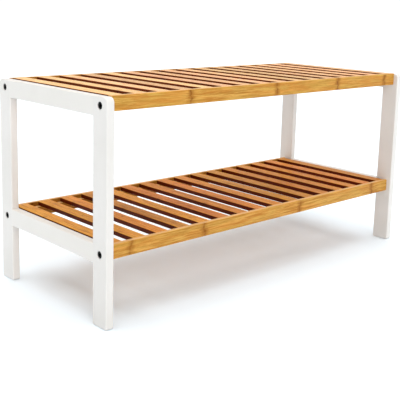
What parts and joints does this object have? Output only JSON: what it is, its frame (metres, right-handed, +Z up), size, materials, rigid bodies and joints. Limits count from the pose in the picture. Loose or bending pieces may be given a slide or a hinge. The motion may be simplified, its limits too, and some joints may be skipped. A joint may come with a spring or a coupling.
{
  "type": "two-tier slatted entryway bench",
  "caption": "Low two-tier bench with painted wooden side frames, a slatted bamboo seat and a slatted bamboo shoe shelf held by recessed socket screws.",
  "frame": {"origin": "on the floor, under the middle of the bench", "axes": "+X along the bench's length, +Y from the front edge to the back edge, +Z up"},
  "size_m": [0.7, 0.29, 0.331],
  "materials": {
    "white_paint": "satin white paint on wood",
    "bamboo_rail": "clear satin lacquer on amber bamboo with node marks",
    "bamboo_seat": "clear satin lacquer on light bamboo",
    "bamboo_shelf": "clear satin lacquer on warm bamboo",
    "beech_dowel": "plain fluted dowel wood",
    "black_steel": "black oxide",
    "zinc_steel": "bright zinc plate"
  },
  "bodies": {
    "root": {"left_front_leg": "white_paint", "left_rear_leg": "white_paint", "left_top_rail": "white_paint", "left_lower_rail": "white_paint", "right_front_leg": "white_paint", "right_rear_leg": "white_paint", "right_top_rail": "white_paint", "right_lower_rail": "white_paint", "seat_front_rail": "bamboo_rail", "seat_rear_rail": "bamboo_rail", "shelf_front_rail": "bamboo_rail", "shelf_rear_rail": "bamboo_rail", "seat_slat_01": "bamboo_seat", "seat_slat_02": "bamboo_seat", "seat_slat_03": "bamboo_seat", "seat_slat_04": "bamboo_seat", "seat_slat_05": "bamboo_seat", "seat_slat_06": "bamboo_seat", "seat_slat_07": "bamboo_seat", "seat_slat_08": "bamboo_seat", "seat_slat_09": "bamboo_seat", "seat_slat_10": "bamboo_seat", "seat_slat_11": "bamboo_seat", "seat_slat_12": "bamboo_seat", "seat_slat_13": "bamboo_seat", "seat_slat_14": "bamboo_seat", "seat_slat_15": "bamboo_seat", "seat_slat_16": "bamboo_seat", "shelf_slat_01": "bamboo_shelf", "shelf_slat_02": "bamboo_shelf", "shelf_slat_03": "bamboo_shelf", "shelf_slat_04": "bamboo_shelf", "shelf_slat_05": "bamboo_shelf", "shelf_slat_06": "bamboo_shelf", "shelf_slat_07": "bamboo_shelf", "shelf_slat_08": "bamboo_shelf", "shelf_slat_09": "bamboo_shelf", "shelf_slat_10": "bamboo_shelf", "shelf_slat_11": "bamboo_shelf", "shelf_slat_12": "bamboo_shelf", "shelf_slat_13": "bamboo_shelf", "shelf_slat_14": "bamboo_shelf", "shelf_slat_15": "bamboo_shelf", "shelf_slat_16": "bamboo_shelf", "left_frame_dowels": "beech_dowel", "right_frame_dowels": "beech_dowel", "left_screws": "black_steel", "right_screws": "black_steel", "left_inserts": "zinc_steel", "right_inserts": "zinc_steel", "seat_slat_brads": "zinc_steel", "shelf_slat_brads": "zinc_steel"}
  },
  "joints": []
}
